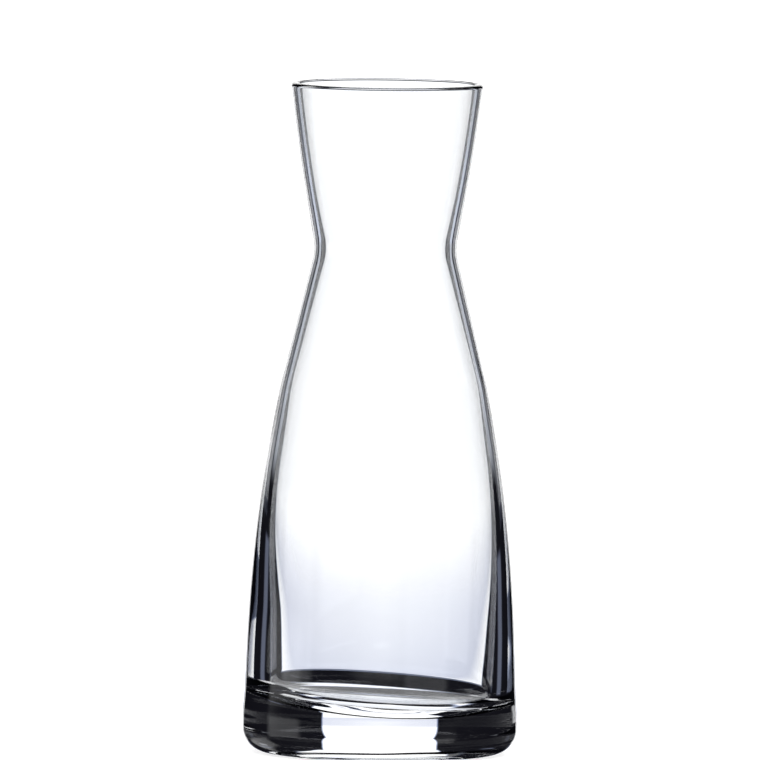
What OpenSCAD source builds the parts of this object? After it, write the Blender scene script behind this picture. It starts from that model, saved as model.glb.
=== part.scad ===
// Water carafe: one piece of clear blown glass, open at the top.
// A flared mouth narrows to a waist, a cone widens into a long rounded belly,
// and the wall grows thicker all the way down into a heavy solid base.
//
// The piece is one revolved section. Each bend of that section is a corner,
// placed by named diameters and heights and rounded by its own radius. The
// inside follows the outside, a named wall thickness further in at each bend.
// Origin: centre of the foot ring, on the surface that it stands on. +Z is up.

/* [Overall] */
// Height from the table to the top of the lip
height = 264; // [245:1:290]

/* [Mouth] */
// Outside diameter of the mouth at the lip
mouth_d = 76.2; // [70:0.1:84]
// Thickness of the glass at the lip
lip_wall = 3.2; // [2.2:0.1:3.6]
// Radius of the melted, rounded edges of the lip
lip_r = 1.4; // [0.4:0.05:1.4]

/* [Flare] */
// Height of the whole flared neck, from the waist to the lip
neck_h = 65.8; // [56:0.2:76]
// Depth of the flare's gentle bend below the lip
flare_drop = 27.5; // [18:0.5:38]
// Outside diameter at that bend
flare_d = 69.0; // [64:0.1:71]
// Radius of that bend
flare_bend_r = 700; // [100:10:900]
// Thickness of the glass there
flare_wall = 2.6; // [2.2:0.1:4]

/* [Waist] */
// Outside diameter at which their two cones would cross
waist_d = 55.8; // [48:0.1:62]
// Radius that blends the two cones on the outside
waist_blend_r = 19.2; // [4:0.2:40]
// Thickness of the glass there
waist_wall = 3.4; // [2.4:0.1:4.5]

/* [Shoulder] */
// Depth below the waist at which the straight cone starts to round over
shoulder_drop = 53.7; // [44:0.1:64]
// Outside diameter there
shoulder_d = 81.8; // [74:0.1:86]
// Radius of the bend
shoulder_bend_r = 110; // [20:5:300]
// Thickness of the glass there
shoulder_wall = 3.0; // [2.4:0.1:5]

/* [Belly] */
// Height at which the tangents of the belly's long curve cross
belly_h = 88.2; // [76:0.2:100]
// Outside diameter at which they cross
belly_d = 102.5; // [96:0.5:106]
// Radius of the belly's long curve on the outside
belly_curve_r = 608; // [100:1:700]
// Thickness of the glass there, between the inside and outside tangents
belly_wall = 5.0; // [3.6:0.1:8]
// Radius of the belly's long curve on the inside
cavity_curve_r = 340; // [80:5:400]

/* [Base] */
// Largest outside diameter, at the swelling round the solid base
base_d = 108.3; // [107:0.1:112]
// Height at which the base starts to draw in above its swelling
swell_h = 15.6; // [13:0.1:19]
// Radius that rounds the swelling
swell_bend_r = 25; // [5:1:60]
// Height at which the body's side meets the swelling
ankle_h = 23.2; // [21:0.2:32]
// Outside diameter there
ankle_d = 107.0; // [104:0.1:107.5]
// Radius of the faint hollow there
ankle_blend_r = 110; // [20:5:200]
// Radius of the heel between the side and the foot ring
heel_r = 9.6; // [4:0.1:11]
// Thickness of the glass beside the floor of the cavity
foot_wall = 9.5; // [7:0.1:12]

/* [Floor] */
// Thickness of the solid base at its centre, from the table up
floor_h = 13.8; // [9:0.1:17]
// Rise of the bowl-shaped floor from its centre to the wall
bowl_rise = 7.8; // [5:0.1:14]
// Diameter at which the floor's tangents cross
bowl_bend_d = 38; // [30:1:50]
// Radius of the bowl-shaped floor
bowl_r = 94; // [40:1:130]
// Radius of the corner between the floor and the wall
floor_corner_r = 7.2; // [2:0.1:9]

/* [Underside] */
// Diameter of the shallow hollow inside the foot ring
hollow_d = 76; // [60:1:82]
// Depth of that hollow at its centre
hollow_depth = 1.6; // [0.6:0.1:3]
// Width of the slope between the hollow's edge and its middle
hollow_slope_w = 18; // [6:1:24]
// Radius that rounds the middle of the hollow
hollow_r = 120; // [30:5:160]
// Radius of the inner edge of the foot ring
ring_edge_r = 1.2; // [0.4:0.1:2.5]

/* [Hidden] */

// Most that a straight step may leave its true arc
arc_tolerance = 0.008;
// Share of a side that two roundings on it may take up together
side_use_share = 0.98;
// Turns of less than this many degrees need no rounding
least_turn = 0.01;
// Facets of one full turn in the preview
turn_facets = 180;

// Heights above the table that follow from the sizes above
waist_h = height - neck_h;
flare_h = height - flare_drop;
shoulder_h = waist_h - shoulder_drop;

// The section's bends, each [radius from the axis, height, rounding radius],
// from the axis under the base, up the outside, over the lip and down inside.
underside = [
    [0, hollow_depth, 0],
    [hollow_d / 2 - hollow_slope_w, hollow_depth, hollow_r],
    [hollow_d / 2, 0, ring_edge_r],
];
outside = [
    [base_d / 2, 0, heel_r],
    [base_d / 2, swell_h, swell_bend_r],
    [ankle_d / 2, ankle_h, ankle_blend_r],
    [belly_d / 2, belly_h, belly_curve_r],
    [shoulder_d / 2, shoulder_h, shoulder_bend_r],
    [waist_d / 2, waist_h, waist_blend_r],
    [flare_d / 2, flare_h, flare_bend_r],
    [mouth_d / 2, height, lip_r],
];
inside = [
    [mouth_d / 2 - lip_wall, height, lip_r],
    [flare_d / 2 - flare_wall, flare_h, flare_bend_r],
    [waist_d / 2 - waist_wall, waist_h, waist_blend_r + waist_wall],
    [shoulder_d / 2 - shoulder_wall, shoulder_h, shoulder_bend_r],
    [belly_d / 2 - belly_wall, belly_h, cavity_curve_r],
    [ankle_d / 2 - foot_wall, floor_h + bowl_rise, floor_corner_r],
    [bowl_bend_d / 2, floor_h, bowl_r],
    [0, floor_h, 0],
];

function place(bend) = [bend[0], bend[1]];
function direction(from, to) = (place(to) - place(from)) / norm(place(to) - place(from));

// Signed angle by which the section turns at bend i, in degrees
function turn(bends, i) =
    let (u = direction(bends[i - 1], bends[i]), v = direction(bends[i], bends[i + 1]))
    atan2(cross(u, v), u * v);

// Length that the rounding of bend i takes from each of its two sides
function reach(bends, i) =
    i == 0 || i == len(bends) - 1 ? 0 : bends[i][2] * tan(abs(turn(bends, i)) / 2);

// Share of its wanted radius that a rounding gets, where the side from
// bend i to the next one is too short for the roundings at both its ends
function fit_share(bends, i) =
    let (
        side = norm(place(bends[i + 1]) - place(bends[i])),
        wanted = reach(bends, i) + reach(bends, i + 1)
    )
    wanted > side_use_share * side ? side_use_share * side / wanted : 1;

// Angle of one straight step along an arc of radius r
function step_angle(r) = 2 * acos(1 - min(1, arc_tolerance / r));

// The points of the rounding at bend i, or the bend itself where it is sharp
function rounding(bends, i) =
    let (
        angle = turn(bends, i),
        r = bends[i][2] * min(fit_share(bends, i - 1), fit_share(bends, i))
    )
    r <= 0 || abs(angle) < least_turn
        ? [place(bends[i])]
        : let (
            u = direction(bends[i - 1], bends[i]),
            start = place(bends[i]) - u * r * tan(abs(angle) / 2),
            side = sign(angle),
            centre = start + side * r * [-u[1], u[0]],
            steps = ceil(abs(angle) / step_angle(r))
        )
        [
            for (k = [0 : steps])
                let (a = angle * k / steps, spoke = start - centre)
                centre + [
                    spoke[0] * cos(a) - spoke[1] * sin(a),
                    spoke[0] * sin(a) + spoke[1] * cos(a)
                ]
        ];

// The whole section, with every bend but the two on the axis rounded
function section(bends) = [
    place(bends[0]),
    for (i = [1 : len(bends) - 2]) each rounding(bends, i),
    place(bends[len(bends) - 1])
];

module glass_body() {
    color("lightcyan", 0.45)
        rotate_extrude($fn = turn_facets)
            polygon(section(concat(underside, outside, inside)));
}

glass_body();
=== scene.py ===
"""Clear glass water carafe, dressed for its picture, with the studio round it.

The carafe is one continuous piece of blown glass: a flared mouth, a waist, a
long body and a heavy solid base. Its section is the one that the construction
uses, and the inside is given the slight unevenness that a blown wall has. The
carafe's lengths are in millimetres until a mesh is made from them, and the
studio's are in metres.
"""

import logging
import math
from dataclasses import dataclass, field
from enum import Enum
from typing import Iterable

import bpy
from mathutils import Matrix, Vector


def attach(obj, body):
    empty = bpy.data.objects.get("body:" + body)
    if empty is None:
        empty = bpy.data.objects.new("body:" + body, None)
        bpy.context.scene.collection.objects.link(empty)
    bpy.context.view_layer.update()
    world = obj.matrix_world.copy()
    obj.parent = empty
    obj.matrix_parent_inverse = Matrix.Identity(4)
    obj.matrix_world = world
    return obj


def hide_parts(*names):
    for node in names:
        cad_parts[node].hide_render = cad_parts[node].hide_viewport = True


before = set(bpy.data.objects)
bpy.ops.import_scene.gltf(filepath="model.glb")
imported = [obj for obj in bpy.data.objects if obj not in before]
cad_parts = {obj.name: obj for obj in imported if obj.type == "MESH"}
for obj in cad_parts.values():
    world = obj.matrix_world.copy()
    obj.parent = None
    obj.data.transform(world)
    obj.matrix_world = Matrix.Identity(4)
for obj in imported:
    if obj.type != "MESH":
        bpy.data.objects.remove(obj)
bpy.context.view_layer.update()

MM = 0.001

# Numbers of the Mix node's sockets when it mixes colours
MIX_SHARE = 0
MIX_FIRST = 6
MIX_SECOND = 7
MIX_RESULT = 2

log = logging.getLogger("carafe")

Colour = tuple[float, float, float, float]
Operand = "Wire | float"
Shade = "Wire | Colour"

WHITE: Colour = (1.0, 1.0, 1.0, 1.0)


class Wire:
    """One output of a shader node, on which arithmetic adds Math nodes."""

    def __init__(self, bench: "Bench", socket: bpy.types.NodeSocket | None) -> None:
        """Wrap an output.

        Args:
            bench: the node tree that the output belongs to.
            socket: the output itself, or None for a node that has none.
        """
        self.bench = bench
        self.socket = socket

    def __add__(self, other: Operand) -> "Wire":
        """Sum of two values."""
        return self.bench.maths("ADD", self, other)

    __radd__ = __add__

    def __sub__(self, other: Operand) -> "Wire":
        """This value less another."""
        return self.bench.maths("SUBTRACT", self, other)

    def __rsub__(self, other: Operand) -> "Wire":
        """Another value less this one."""
        return self.bench.maths("SUBTRACT", other, self)

    def __mul__(self, other: Operand) -> "Wire":
        """Product of two values."""
        return self.bench.maths("MULTIPLY", self, other)

    __rmul__ = __mul__

    def distance_to(self, other: Operand) -> "Wire":
        """Size of the difference of two values."""
        return self.bench.maths("ABSOLUTE", self - other)

    def larger(self, other: Operand) -> "Wire":
        """The larger of two values."""
        return self.bench.maths("MAXIMUM", self, other)

    def degrees(self) -> "Wire":
        """An angle in radians, in degrees."""
        return self.bench.maths("DEGREES", self)


class Bench:
    """A node tree that nodes are added to, one expression at a time."""

    def __init__(self, tree: bpy.types.NodeTree) -> None:
        """Start with an empty tree.

        Args:
            tree: the node tree of a material or of the world.
        """
        self.tree = tree
        tree.nodes.clear()

    def add(
        self,
        kind: str,
        settings: dict[str, object] | None = None,
        inputs: dict[str | int, object] | None = None,
        output: str | int = 0,
    ) -> Wire:
        """Add one node.

        Args:
            kind: the node's type.
            settings: its properties, set before its inputs. "stops" holds a
                colour ramp's stops, each a place and a colour.
            inputs: a value or a Wire for each input, by name or number.
            output: the output that is returned, by name or number.

        Returns:
            The chosen output.
        """
        node = self.tree.nodes.new(kind)
        for name, value in (settings or {}).items():
            if name == "stops":
                self._set_stops(node.color_ramp, value)
            else:
                setattr(node, name, value)
        for name, value in (inputs or {}).items():
            if isinstance(value, Wire):
                self.tree.links.new(value.socket, node.inputs[name])
            else:
                node.inputs[name].default_value = value
        return Wire(self, node.outputs[output] if node.outputs else None)

    @staticmethod
    def _set_stops(ramp: bpy.types.ColorRamp, stops: list[tuple[float, Colour]]) -> None:
        """Give a colour ramp its stops.

        Args:
            ramp: the ramp, which has two stops to begin with.
            stops: each stop's place from 0 to 1, and its colour.
        """
        while len(ramp.elements) < len(stops):
            ramp.elements.new(0.5)
        for element, (place, colour) in zip(ramp.elements, stops):
            element.position = place
            element.color = colour

    def maths(self, operation: str, *values: Operand) -> Wire:
        """Add a Math node that works on the given values."""
        return self.add("ShaderNodeMath", {"operation": operation}, dict(enumerate(values)))

    def rise(self, value: Wire, low: float, high: float) -> Wire:
        """Ease from 0 to 1 as a value goes from low to high, or back if low is larger.

        Args:
            value: the value that is looked at.
            low: where the result leaves 0.
            high: where the result reaches 1.

        Returns:
            The eased value.
        """
        falls = low > high
        eased = self.add(
            "ShaderNodeMapRange",
            {"interpolation_type": "SMOOTHSTEP"},
            {"Value": value, "From Min": min(low, high), "From Max": max(low, high)},
        )
        return 1.0 - eased if falls else eased

    def blend(self, share: Operand, first: Shade, second: Shade) -> Wire:
        """Mix two colours by a share of the second."""
        inputs = {MIX_SHARE: share, MIX_FIRST: first, MIX_SECOND: second}
        return self.add("ShaderNodeMix", {"data_type": "RGBA"}, inputs, MIX_RESULT)

    def cross_fade(self, share: Operand, first: Wire, second: Wire) -> Wire:
        """Mix two shaders by a share of the second."""
        return self.add("ShaderNodeMixShader", inputs={0: share, 1: first, 2: second})

    def glow(self, colour: Shade, strength: float) -> Wire:
        """A shader that sends out light of its own."""
        return self.add("ShaderNodeEmission", inputs={"Color": colour, "Strength": strength})

    def axis(self, place: Wire, name: str) -> Wire:
        """One of the three values of a place or a direction, by its axis."""
        return self.add("ShaderNodeSeparateXYZ", inputs={0: place}, output=name)


@dataclass(frozen=True)
class Bend:
    """A corner of the revolved section: its place and the radius that rounds it."""

    radius: float
    height: float
    rounding: float = 0.0

    @property
    def place(self) -> Vector:
        """The corner as a point of the section's plane."""
        return Vector((self.radius, self.height))


@dataclass(frozen=True)
class Level:
    """A height at which the wall bends, outside and inside."""

    diameter: float
    height: float
    wall: float
    outer_rounding: float
    inner_rounding: float

    def outside(self) -> Bend:
        """The bend on the outside."""
        return Bend(self.diameter / 2, self.height, self.outer_rounding)

    def inside(self) -> Bend:
        """The bend on the inside, a wall's thickness further in."""
        return Bend(self.diameter / 2 - self.wall, self.height, self.inner_rounding)


@dataclass(frozen=True)
class SectionPoint:
    """A point of the finished section, and whether it lies on the inside."""

    radius: float
    height: float
    is_inside: bool


@dataclass
class Section:
    """The section's bends, rounded and drawn as a fine line.

    An arc's steps turn no more than arc_step degrees and, like a straight
    stretch's, are no longer than line_step millimetres.
    """

    outside: list[Bend]
    inside: list[Bend]
    arc_step: float = 2.4
    line_step: float = 3.0
    least_steps: int = 3
    side_use_share: float = 0.98

    def line(self) -> list[SectionPoint]:
        """Draw the section.

        Returns:
            Points from the axis under the base, up the outside, over the lip
            and down the inside to the axis.
        """
        bends = self.outside + self.inside
        corners: list[tuple[Vector, bool]] = [(bends[0].place, False)]
        for number in range(1, len(bends) - 1):
            inside = number >= len(self.outside)
            corners += [(point, inside) for point in self._rounded(bends, number)]
        corners.append((bends[-1].place, True))
        return list(self._evenly(corners))

    @staticmethod
    def _turn(bends: list[Bend], number: int) -> float:
        """Signed angle by which the section turns at a bend, in radians."""
        before = bends[number].place - bends[number - 1].place
        after = bends[number + 1].place - bends[number].place
        cross = before.x * after.y - before.y * after.x
        return math.atan2(cross, before.dot(after))

    def _reach(self, bends: list[Bend], number: int) -> float:
        """Length that a bend's rounding takes from each side next to it."""
        if number in (0, len(bends) - 1):
            return 0.0
        return bends[number].rounding * math.tan(abs(self._turn(bends, number)) / 2)

    def _fit_share(self, bends: list[Bend], number: int) -> float:
        """Share of its radius that a rounding gets on the side after a bend."""
        side = (bends[number + 1].place - bends[number].place).length
        wanted = self._reach(bends, number) + self._reach(bends, number + 1)
        room = self.side_use_share * side
        return room / wanted if wanted > room else 1.0

    def _rounded(self, bends: list[Bend], number: int) -> list[Vector]:
        """Points of the rounding at a bend.

        Args:
            bends: all the bends in order.
            number: which of them is rounded.

        Returns:
            The arc's points, or the bend itself where it stays sharp.
        """
        bend = bends[number]
        angle = self._turn(bends, number)
        share = min(self._fit_share(bends, number - 1), self._fit_share(bends, number))
        radius = bend.rounding * share
        if radius <= 0:
            return [bend.place]
        along = (bend.place - bends[number - 1].place).normalized()
        start = bend.place - along * radius * math.tan(abs(angle) / 2)
        side = math.copysign(1.0, angle)
        centre = start + side * radius * Vector((-along.y, along.x))
        by_angle = math.ceil(math.degrees(abs(angle)) / self.arc_step)
        by_length = math.ceil(radius * abs(angle) / self.line_step)
        steps = max(self.least_steps, by_angle, by_length)
        spoke = start - centre
        turns = (Matrix.Rotation(angle * step / steps, 2) for step in range(steps + 1))
        return [centre + turn @ spoke for turn in turns]

    def _evenly(self, corners: list[tuple[Vector, bool]]) -> Iterable[SectionPoint]:
        """Split long straight stretches into short ones.

        Args:
            corners: the points so far, each with whether it is on the inside.

        Yields:
            The points with no two further apart than the line step.
        """
        for (start, _), (end, inside) in zip(corners, corners[1:]):
            pieces = max(1, math.ceil((end - start).length / self.line_step))
            for piece in range(pieces):
                point = start.lerp(end, piece / pieces)
                yield SectionPoint(point.x, point.y, inside)
        last, inside = corners[-1]
        yield SectionPoint(last.x, last.y, inside)


@dataclass(frozen=True)
class FloorTilt:
    """The lean of the cavity's floor, which a blown base seldom has quite level.

    The floor slopes by an angle in degrees, down towards low_bearing, which is
    counted from +X towards +Y. The lean fades out between two heights.
    """

    slope: float = 3.6
    low_bearing: float = 8.0
    full_below: float = 30.0
    gone_above: float = 95.0

    def rise(self, x: float, y: float, height: float) -> float:
        """Height that a point of the inside gains.

        Args:
            x: the point's place to the right of the axis.
            y: the point's place behind the axis.
            height: its height above the table.

        Returns:
            The gain in height, negative on the low side.
        """
        toward = math.radians(self.low_bearing)
        down_slope = x * math.cos(toward) + y * math.sin(toward)
        share = 1.0 - smooth_step(height, self.full_below, self.gone_above)
        return -math.tan(math.radians(self.slope)) * down_slope * share


@dataclass(frozen=True)
class WallSwell:
    """A place where the wall's inside stands in a little, or out if the depth is negative.

    The swell is a smooth hump, down to about a third of its depth half_angle
    degrees round the axis or half_height millimetres up or down the wall.
    """

    bearing: float
    height: float
    depth: float
    half_angle: float
    half_height: float

    def inward(self, bearing: float, height: float) -> float:
        """How far a point of the inside moves towards the axis.

        Args:
            bearing: the point's angle round the axis, from +X towards +Y.
            height: its height above the table.

        Returns:
            The move in millimetres.
        """
        turn = (bearing - self.bearing + 180.0) % 360.0 - 180.0
        across = math.exp(-((turn / self.half_angle) ** 2))
        along = math.exp(-(((height - self.height) / self.half_height) ** 2))
        return self.depth * across * along


def smooth_step(value: float, low: float, high: float) -> float:
    """Ease from 0 to 1 as a value goes from low to high."""
    share = min(1.0, max(0.0, (value - low) / (high - low)))
    return share * share * (3.0 - 2.0 * share)


@dataclass(frozen=True)
class ClearGlass:
    """Clear soda-lime glass with a faint cool cast and a blown surface.

    One noise decides where it is faintly rough, as after wiping, and where its
    cast is deeper. A second one ripples the surface.
    """

    ior: float = 1.52
    tint: Colour = (0.985, 0.992, 1.0, 1.0)
    deep_tint: Colour = (0.975, 0.986, 0.998, 1.0)
    smooth: float = 0.0
    wiped: float = 0.012
    patch_scale: float = 18.0
    patch_detail: float = 2.0
    wiped_from: float = 0.45
    wiped_full: float = 0.75
    deep_from: float = 0.3
    deep_full: float = 0.7
    wave_scale: float = 26.0
    wave_detail: float = 1.0
    wave_height: float = 0.00006

    def material(self) -> bpy.types.Material:
        """Make the glass.

        Returns:
            The material with its nodes.
        """
        material = bpy.data.materials.new("clear_glass")
        material.use_nodes = True
        bench = Bench(material.node_tree)
        place = bench.add("ShaderNodeTexCoord", output="Object")
        patches = bench.add(
            "ShaderNodeTexNoise",
            inputs={"Vector": place, "Scale": self.patch_scale, "Detail": self.patch_detail},
        )
        waves = bench.add(
            "ShaderNodeTexNoise",
            inputs={"Vector": place, "Scale": self.wave_scale, "Detail": self.wave_detail},
        )
        wiping = bench.rise(patches, self.wiped_from, self.wiped_full)
        deepness = bench.rise(patches, self.deep_from, self.deep_full)
        ripple = bench.add(
            "ShaderNodeBump",
            inputs={"Strength": 1.0, "Distance": self.wave_height, "Height": waves},
            output="Normal",
        )
        glass = bench.add(
            "ShaderNodeBsdfPrincipled",
            inputs={
                "Base Color": bench.blend(deepness, self.tint, self.deep_tint),
                "Roughness": wiping * (self.wiped - self.smooth) + self.smooth,
                "IOR": self.ior,
                "Transmission Weight": 1.0,
                "Normal": ripple,
            },
        )
        bench.add("ShaderNodeOutputMaterial", inputs={"Surface": glass})
        return material


@dataclass
class CarafeGlass:
    """The carafe itself, one piece of glass from the lip to the foot ring."""

    mouth: Level = Level(
        diameter=76.2, height=264.0, wall=3.2, outer_rounding=1.4, inner_rounding=1.4
    )
    flare: Level = Level(
        diameter=69.0, height=236.5, wall=2.6, outer_rounding=700.0, inner_rounding=700.0
    )
    waist: Level = Level(
        diameter=55.8, height=198.2, wall=3.4, outer_rounding=19.2, inner_rounding=22.6
    )
    shoulder: Level = Level(
        diameter=81.8, height=144.5, wall=3.0, outer_rounding=110.0, inner_rounding=110.0
    )
    belly: Level = Level(
        diameter=102.5, height=88.2, wall=5.0, outer_rounding=608.0, inner_rounding=340.0
    )
    ankle_d: float = 107.0
    ankle_h: float = 23.2
    ankle_rounding: float = 110.0
    foot_wall: float = 9.5
    base_d: float = 108.3
    swell_h: float = 15.6
    swell_rounding: float = 25.0
    heel_rounding: float = 9.6
    floor_h: float = 13.8
    floor_corner_rounding: float = 7.2
    bowl_rise: float = 7.8
    bowl_bend_d: float = 38.0
    bowl_rounding: float = 94.0
    hollow_d: float = 76.0
    hollow_depth: float = 1.6
    hollow_slope_w: float = 18.0
    hollow_rounding: float = 120.0
    ring_edge_rounding: float = 1.2
    turn_steps: int = 256
    tilt: FloorTilt = FloorTilt()
    swells: list[WallSwell] = field(
        default_factory=lambda: [
            WallSwell(bearing=180.0, height=58.0, depth=0.5, half_angle=45.0, half_height=28.0),
            WallSwell(bearing=0.0, height=56.0, depth=-0.25, half_angle=50.0, half_height=32.0),
            WallSwell(bearing=180.0, height=135.0, depth=0.2, half_angle=60.0, half_height=45.0),
            WallSwell(bearing=0.0, height=135.0, depth=-0.15, half_angle=60.0, half_height=45.0),
        ]
    )
    uneven_full_radius: float = 30.0
    uneven_full_below: float = 215.0
    uneven_gone_above: float = 250.0
    finish: ClearGlass = ClearGlass()

    def section(self) -> Section:
        """The section of the glass, from the bends of its levels and its base."""
        levels = [self.belly, self.shoulder, self.waist, self.flare, self.mouth]
        foot_radius = self.ankle_d / 2 - self.foot_wall
        foot_height = self.floor_h + self.bowl_rise
        outside = [
            Bend(0.0, self.hollow_depth),
            Bend(self.hollow_d / 2 - self.hollow_slope_w, self.hollow_depth, self.hollow_rounding),
            Bend(self.hollow_d / 2, 0.0, self.ring_edge_rounding),
            Bend(self.base_d / 2, 0.0, self.heel_rounding),
            Bend(self.base_d / 2, self.swell_h, self.swell_rounding),
            Bend(self.ankle_d / 2, self.ankle_h, self.ankle_rounding),
            *(level.outside() for level in levels),
        ]
        inside = [
            *(level.inside() for level in reversed(levels)),
            Bend(foot_radius, foot_height, self.floor_corner_rounding),
            Bend(self.bowl_bend_d / 2, self.floor_h, self.bowl_rounding),
            Bend(0.0, self.floor_h),
        ]
        return Section(outside, inside)

    def _vertex(self, point: SectionPoint, bearing: float) -> tuple[float, float, float]:
        """Place one vertex of the glass.

        Args:
            point: the point of the section that it comes from.
            bearing: its angle round the axis in degrees.

        Returns:
            Its place in metres.
        """
        radius = point.radius
        height = point.height
        turn = math.radians(bearing)
        if point.is_inside:
            off_axis = smooth_step(radius, 0.0, self.uneven_full_radius)
            above = smooth_step(height, self.uneven_full_below, self.uneven_gone_above)
            share = off_axis * (1.0 - above)
            radius -= share * sum(swell.inward(bearing, height) for swell in self.swells)
            height += self.tilt.rise(radius * math.cos(turn), radius * math.sin(turn), height)
        return (radius * math.cos(turn) * MM, radius * math.sin(turn) * MM, height * MM)

    def _faces(self, ring_count: int) -> list[tuple[int, ...]]:
        """Join the rings of the mesh to each other and to its two points on the axis.

        Args:
            ring_count: how many rings the mesh has, from under the base round
                to the floor of the cavity.

        Returns:
            The faces, each as the numbers of its vertices.
        """
        steps = self.turn_steps
        centre = 1 + ring_count * steps
        last = centre - steps
        faces: list[tuple[int, ...]] = []
        for step in range(steps):
            after = (step + 1) % steps
            faces.append((0, 1 + after, 1 + step))
            faces.append((last + step, last + after, centre))
        for low in range(1, last, steps):
            high = low + steps
            for step in range(steps):
                after = (step + 1) % steps
                faces.append((low + step, low + after, high + after, high + step))
        return faces

    def build(self) -> bpy.types.Object:
        """Make the mesh of the glass.

        Returns:
            The glass as an object with its origin at the foot.
        """
        first, *rings, last = self.section().line()
        bearings = [360.0 * step / self.turn_steps for step in range(self.turn_steps)]
        points = [self._vertex(first, 0.0)]
        points += [self._vertex(point, bearing) for point in rings for bearing in bearings]
        points.append(self._vertex(last, 0.0))
        mesh = bpy.data.meshes.new("carafe_glass")
        mesh.from_pydata(points, [], self._faces(len(rings)))
        mesh.shade_smooth()
        glass = bpy.data.objects.new("carafe_glass", mesh)
        bpy.context.collection.objects.link(glass)
        return glass

    def dress(self, glass: bpy.types.Object) -> None:
        """Give the glass its finish and its body, and hide the solid that it stands for.

        Args:
            glass: the object made by build.
        """
        glass.data.materials.append(self.finish.material())
        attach(glass, "root")
        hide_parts("glass_body")


@dataclass(frozen=True)
class SkyStop:
    """How much light a panel sends, and the colour that the glass then shows."""

    light: float
    colour: Colour


class Sky(Enum):
    """Colours of the studio as the glass sees them, from black to full light."""

    BLACK = SkyStop(0.0, (0.007, 0.007, 0.01, 1.0))
    DIM = SkyStop(0.12, (0.075, 0.082, 0.118, 1.0))
    HALF = SkyStop(0.55, (0.42, 0.48, 0.64, 1.0))
    PALE = SkyStop(0.86, (0.84, 0.88, 0.99, 1.0))
    FULL = SkyStop(1.0, (1.34, 1.34, 1.34, 1.0))


@dataclass(frozen=True)
class Panel:
    """A lit panel of the studio, as angles in degrees seen from the carafe.

    Its bearing is counted from straight behind the carafe, towards +X, and its
    low and high edges from the horizon. It fades out over the feathers beyond
    its edges. A mirrored panel has a twin on the other side.
    """

    bearing: float
    half_width: float
    side_feather: float
    low: float
    low_feather: float
    high: float
    high_feather: float
    light: float
    mirrored: bool = True

    def shade(self, bench: Bench, bearing: Wire, pitch: Wire) -> Wire:
        """Light that the panel sends from a direction.

        Args:
            bench: the world's node tree.
            bearing: the direction's angle from straight behind the carafe.
            pitch: the direction's angle above the horizon.

        Returns:
            The light, from 0 to the panel's own.
        """
        side = bearing.distance_to(0.0) if self.mirrored else bearing
        aside = side.distance_to(self.bearing)
        across = bench.rise(aside, self.half_width + self.side_feather, self.half_width)
        above = bench.rise(pitch, self.low - self.low_feather, self.low)
        below = bench.rise(pitch, self.high + self.high_feather, self.high)
        return across * above * below * self.light


def glass_ray(bench: Bench) -> Wire:
    """1 for a ray that has gone through or off the glass, 0 for any other."""
    through = bench.add("ShaderNodeLightPath", output="Is Transmission Ray")
    off = bench.add("ShaderNodeLightPath", output="Is Glossy Ray")
    return through.larger(off)


def stage_card(name: str, corners: list[tuple[float, float, float]]) -> bpy.types.Object:
    """Make a flat card that belongs to the studio and not to the carafe.

    Args:
        name: the name of the card and of its material.
        corners: its four corners in metres, in order round it.

    Returns:
        The card.
    """
    mesh = bpy.data.meshes.new(name)
    mesh.from_pydata(corners, [], [(0, 1, 2, 3)])
    material = bpy.data.materials.new(name)
    material.use_nodes = True
    mesh.materials.append(material)
    card = bpy.data.objects.new(name, mesh)
    bpy.context.collection.objects.link(card)
    return card


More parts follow.
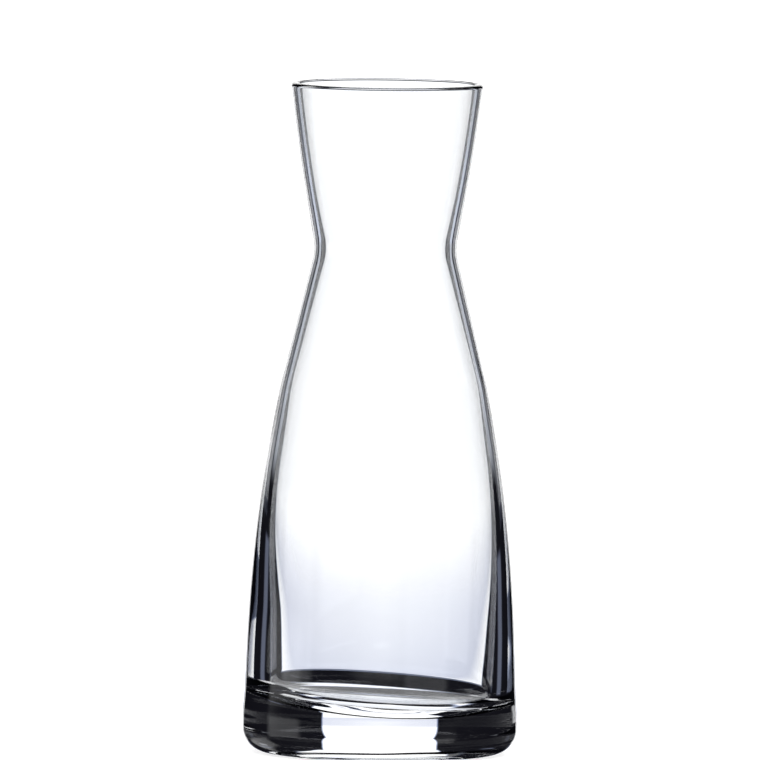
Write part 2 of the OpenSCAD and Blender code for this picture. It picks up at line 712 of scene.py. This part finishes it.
@dataclass
class TableTop:
    """The plain pale floor, and the light and shade on it that the glass shows.

    Behind the carafe lies a wedge of painted shade that thins out with distance,
    and on it a glowing patch of painted light. A glowing disc of painted light
    lies under the foot. A widening is how much further out a wedge's side gets
    for each metre behind the carafe.
    """

    size: float = 24.0
    drop: float = 0.0002
    paint: Colour = (0.8, 0.8, 0.8, 1.0)
    glow: float = 0.72
    shade_tint: Colour = (0.55, 0.575, 0.68, 1.0)
    shade_start: float = 0.13
    shade_full: float = 0.18
    shade_far: float = 0.62
    shade_narrowing: float = 1.2
    shade_widening: float = 0.33
    shade_side_edge: float = 0.04
    patch_light: float = 1.32
    patch_start: float = 0.34
    patch_full: float = 0.42
    patch_fade: float = 0.5
    patch_end: float = 0.7
    patch_widening: float = 0.2
    patch_feather: float = 0.015
    # Painted light under the foot: the colour and strength of a glowing disc that only the glass
    # shows
    underfoot_colour: Colour = (0.93, 0.95, 1.0, 1.0)
    underfoot_light: float = 1.1
    underfoot_edge: float = 0.042
    underfoot_full: float = 0.034

    def build(self) -> None:
        """Lay the floor just under the foot ring."""
        half = self.size / 2
        corners = [(-half, -half, 0.0), (half, -half, 0.0), (half, half, 0.0), (-half, half, 0.0)]
        floor = stage_card("studio_floor", corners)
        floor.location.z = -self.drop
        bench = Bench(floor.data.materials[0].node_tree)
        paint = bench.add("ShaderNodeBsdfDiffuse", inputs={"Color": self.paint})
        glow = bench.glow(WHITE, self.glow)
        lit = bench.add("ShaderNodeAddShader", inputs={0: paint, 1: glow})
        surface = bench.cross_fade(glass_ray(bench), lit, self._in_glass(bench))
        bench.add("ShaderNodeOutputMaterial", inputs={"Surface": surface})

    def _in_glass(self, bench: Bench) -> Wire:
        """Shade the floor for the glass: lit under the foot and well behind it.

        Args:
            bench: the node tree of the floor.

        Returns:
            The shader, which lets the studio's panels show where it isn't lit.
        """
        place = bench.add("ShaderNodeTexCoord", output="Object")
        aside = bench.axis(place, "X").distance_to(0.0)
        behind = bench.axis(place, "Y")
        from_axis = bench.add("ShaderNodeVectorMath", {"operation": "LENGTH"}, {0: place}, "Value")
        away = bench.rise(behind - aside * self.shade_narrowing, 0.0, self.shade_far)
        near = bench.rise(behind, self.shade_full, self.shade_start)
        outside = bench.rise(aside - behind * self.shade_widening, 0.0, self.shade_side_edge)
        # Painted shade: a tinted wedge behind the carafe that dims what the glass shows through it
        dim = bench.add("ShaderNodeBsdfTransparent", inputs={"Color": self.shade_tint})
        clear = bench.add("ShaderNodeBsdfTransparent")
        through = bench.cross_fade(away.larger(near).larger(outside), dim, clear)
        # Painted light: a glowing patch on the floor behind the carafe, seen only in the glass
        patch = bench.glow(bench.blend(away, self.shade_tint, WHITE), self.patch_light)
        across = bench.rise(aside - behind * self.patch_widening, self.patch_feather, 0.0)
        begins = bench.rise(behind, self.patch_start, self.patch_full)
        ends = bench.rise(behind, self.patch_end, self.patch_fade)
        seen = bench.cross_fade(across * begins * ends, through, patch)
        # Painted light: a glowing disc under the foot, seen only in the glass
        underfoot_glow = bench.glow(self.underfoot_colour, self.underfoot_light)
        under = bench.rise(from_axis, self.underfoot_edge, self.underfoot_full)
        return bench.cross_fade(under, seen, underfoot_glow)


@dataclass
class SideLight:
    """A tall soft light behind the carafe, that only the glass shows.

    Its bearing is counted from straight behind the carafe, towards +X, and its
    spread is how many degrees wide it looks from there.
    """

    bearing: float
    distance: float = 0.3
    spread: float = 9.0
    low: float = 0.09
    high: float = 0.28
    foot_fade: float = 0.045
    head_fade: float = 0.03
    full_share: float = 0.8
    strength: float = 0.75
    colour: Colour = (0.86, 0.91, 1.0, 1.0)

    def build(self) -> None:
        """Stand the light in its place, facing the carafe."""
        half = self.distance * math.radians(self.spread) / 2
        corners = [
            (-half, 0.0, self.low),
            (half, 0.0, self.low),
            (half, 0.0, self.high),
            (-half, 0.0, self.high),
        ]
        light = stage_card("side_light", corners)
        toward = math.radians(self.bearing)
        light.location.x = self.distance * math.sin(toward)
        light.location.y = self.distance * math.cos(toward)
        light.rotation_euler.z = -toward
        light.visible_camera = False
        light.visible_diffuse = False
        light.visible_shadow = False
        bench = Bench(light.data.materials[0].node_tree)
        place = bench.add("ShaderNodeTexCoord", output="Object")
        above = bench.axis(place, "Z")
        edge = bench.rise(bench.axis(place, "X").distance_to(0.0), half, half * self.full_share)
        foot = bench.rise(above, self.low, self.low + self.foot_fade)
        head = bench.rise(above, self.high, self.high - self.head_fade)
        clear = bench.add("ShaderNodeBsdfTransparent")
        glow = bench.glow(self.colour, self.strength)
        both = bench.add("ShaderNodeAddShader", inputs={0: glow, 1: clear})
        surface = bench.cross_fade(edge * foot * head, clear, both)
        bench.add("ShaderNodeOutputMaterial", inputs={"Surface": surface})


@dataclass
class Studio:
    """The floor, the soft light and the panels that the glass shows."""

    table: TableTop = field(default_factory=TableTop)
    lamp_strength: float = 1.2
    lamp_softness: float = 70.0
    lamp_lean: tuple[float, float] = (-12.0, 8.0)
    room_light: float = 0.9
    side_lights: list[SideLight] = field(
        default_factory=lambda: [SideLight(bearing=-43.5), SideLight(bearing=43.5)]
    )
    panels: list[Panel] = field(
        default_factory=lambda: [
            # The backdrop behind the clear middle of the glass
            Panel(
                bearing=0.0, half_width=17.0, side_feather=0.9,
                low=-12.4, low_feather=0.6, high=48.0, high_feather=14.0,
                light=1.0,
            ),
            # The dimmer foot of the backdrop, for the line along the outer edge
            Panel(
                bearing=0.0, half_width=17.0, side_feather=0.9,
                low=-15.0, low_feather=1.0, high=-12.4, high_feather=0.6,
                light=0.25,
            ),
            # Two dim strips, for the streak down each dark wall
            Panel(
                bearing=38.5, half_width=2.5, side_feather=3.5,
                low=-14.5, low_feather=2.5, high=-9.0, high_feather=1.0,
                light=0.2,
            ),
            # Light from steeply below, for the bright rim round the cavity's floor
            Panel(
                bearing=0.0, half_width=50.0, side_feather=15.0,
                low=-90.0, low_feather=1.0, high=-54.0, high_feather=6.0,
                light=1.1,
            ),
        ]
    )
    white_panels: list[Panel] = field(
        default_factory=lambda: [
            # Clear middles for views from the side, the front corner and the back corner
            Panel(
                bearing=-90.0, half_width=14.0, side_feather=8.0,
                low=-10.0, low_feather=6.0, high=-1.5, high_feather=4.0,
                light=0.9, mirrored=False,
            ),
            Panel(
                bearing=-45.0, half_width=15.0, side_feather=8.0,
                low=-33.0, low_feather=7.0, high=-20.0, high_feather=6.0,
                light=0.9, mirrored=False,
            ),
            Panel(
                bearing=135.0, half_width=17.0, side_feather=9.0,
                low=-22.0, low_feather=7.0, high=-10.0, high_feather=7.0,
                light=0.9, mirrored=False,
            ),
            # The room's light from the camera's side
            Panel(
                bearing=180.0, half_width=14.0, side_feather=14.0,
                low=-7.0, low_feather=7.0, high=22.0, high_feather=20.0,
                light=0.3,
            ),
        ]
    )
    panel_white: Colour = (0.95, 0.955, 0.97, 1.0)

    def build(self) -> None:
        """Make the floor, the lamps and the world."""
        self.table.build()
        self._lamp()
        for light in self.side_lights:
            light.build()
        self._world()

    @staticmethod
    def _brightest(bench: Bench, panels: list[Panel], bearing: Wire, pitch: Wire) -> Wire:
        """Light of the brightest panel in a direction.

        Args:
            bench: the world's node tree.
            panels: the panels that are compared.
            bearing: the direction's angle from straight behind the carafe.
            pitch: the direction's angle above the horizon.

        Returns:
            The light, from 0 where there is no panel.
        """
        light = panels[0].shade(bench, bearing, pitch)
        for panel in panels[1:]:
            light = light.larger(panel.shade(bench, bearing, pitch))
        return light

    def _lamp(self) -> None:
        """Hang the soft overhead light that gives the floor its shadow."""
        light = bpy.data.lights.new("overhead", "SUN")
        light.energy = self.lamp_strength
        light.angle = math.radians(self.lamp_softness)
        lamp = bpy.data.objects.new("overhead", light)
        lean_x, lean_y = self.lamp_lean
        lamp.rotation_euler = (math.radians(lean_x), math.radians(lean_y), 0.0)
        lamp.visible_glossy = False
        lamp.visible_transmission = False
        bpy.context.collection.objects.link(lamp)

    def _world(self) -> None:
        """Set the room's light, and the panels that the glass shows."""
        world = bpy.data.worlds.new("studio")
        world.use_nodes = True
        bpy.context.scene.world = world
        bench = Bench(world.node_tree)
        toward = bench.add("ShaderNodeTexCoord", output="Generated")
        pitch = bench.maths("ARCSINE", bench.axis(toward, "Z")).degrees()
        bearing = bench.maths("ARCTAN2", bench.axis(toward, "X"), bench.axis(toward, "Y")).degrees()
        light = self._brightest(bench, self.panels, bearing, pitch)
        seen = bench.add(
            "ShaderNodeValToRGB",
            {"stops": [(sky.value.light, sky.value.colour) for sky in Sky]},
            {"Fac": light},
            output="Color",
        )
        whiteness = self._brightest(bench, self.white_panels, bearing, pitch)
        seen = bench.blend(whiteness, seen, self.panel_white)
        camera_ray = bench.add("ShaderNodeLightPath", output="Is Camera Ray")
        level = camera_ray.larger(self.room_light)
        plain = bench.add("ShaderNodeCombineColor", inputs={0: level, 1: level, 2: level})
        colour = bench.blend(glass_ray(bench), plain, seen)
        background = bench.add("ShaderNodeBackground", inputs={"Color": colour})
        bench.add("ShaderNodeOutputWorld", inputs={"Surface": background})


@dataclass
class StillCamera:
    """The camera of the photograph: far away, with a long lens, a little above.

    The foot of the carafe stands at foot_pixel, counted from the top left of a
    frame that is frame_pixels wide and frame_width metres across at the carafe.
    """

    elevation: float = 3.75
    lean: float = 0.69
    distance: float = 10.0
    frame_width: float = 0.29936
    frame_pixels: int = 760
    foot_pixel: tuple[float, float] = (379.35, 752.2)
    sensor: float = 36.0
    sees_to: float = 100.0

    def build(self) -> bpy.types.Object:
        """Make the camera and aim it.

        Returns:
            The camera, which is then the scene's own.
        """
        data = bpy.data.cameras.new("still_camera")
        data.sensor_width = self.sensor
        data.lens = self.sensor * self.distance / self.frame_width
        data.clip_end = self.sees_to
        camera = bpy.data.objects.new("still_camera", data)
        bpy.context.collection.objects.link(camera)
        bpy.context.scene.camera = camera
        rise = math.radians(self.elevation)
        roll = math.radians(self.lean)
        ahead = Vector((0.0, math.cos(rise), -math.sin(rise)))
        level_right = Vector((1.0, 0.0, 0.0))
        level_up = Vector((0.0, math.sin(rise), math.cos(rise)))
        right = level_right * math.cos(roll) + level_up * math.sin(roll)
        up = level_up * math.cos(roll) - level_right * math.sin(roll)
        pixel = self.frame_width / self.frame_pixels
        middle = self.frame_pixels / 2
        foot_right = (self.foot_pixel[0] - middle) * pixel
        foot_up = (middle - self.foot_pixel[1]) * pixel
        aim = -(right * foot_right + up * foot_up)
        place = aim - ahead * self.distance
        turn = Matrix((right, up, -ahead)).transposed()
        camera.matrix_world = Matrix.Translation(place) @ turn.to_4x4()
        return camera


def main() -> None:
    """Build the carafe, then the studio and the camera."""
    logging.basicConfig(level=logging.INFO, format="%(message)s")
    bpy.context.scene.view_settings.view_transform = "Standard"
    carafe = CarafeGlass()
    glass = carafe.build()
    carafe.dress(glass)
    log.info("glass: %d vertices, %d faces", len(glass.data.vertices), len(glass.data.polygons))
    studio = Studio()
    studio.build()
    count = len(studio.panels) + len(studio.white_panels)
    log.info("studio: floor, lamp, %d side lights, %d panels", len(studio.side_lights), count)
    camera = StillCamera().build()
    log.info("camera: %.0f mm lens at %.1f m", camera.data.lens, camera.location.length)


if __name__ == "__main__":
    main()
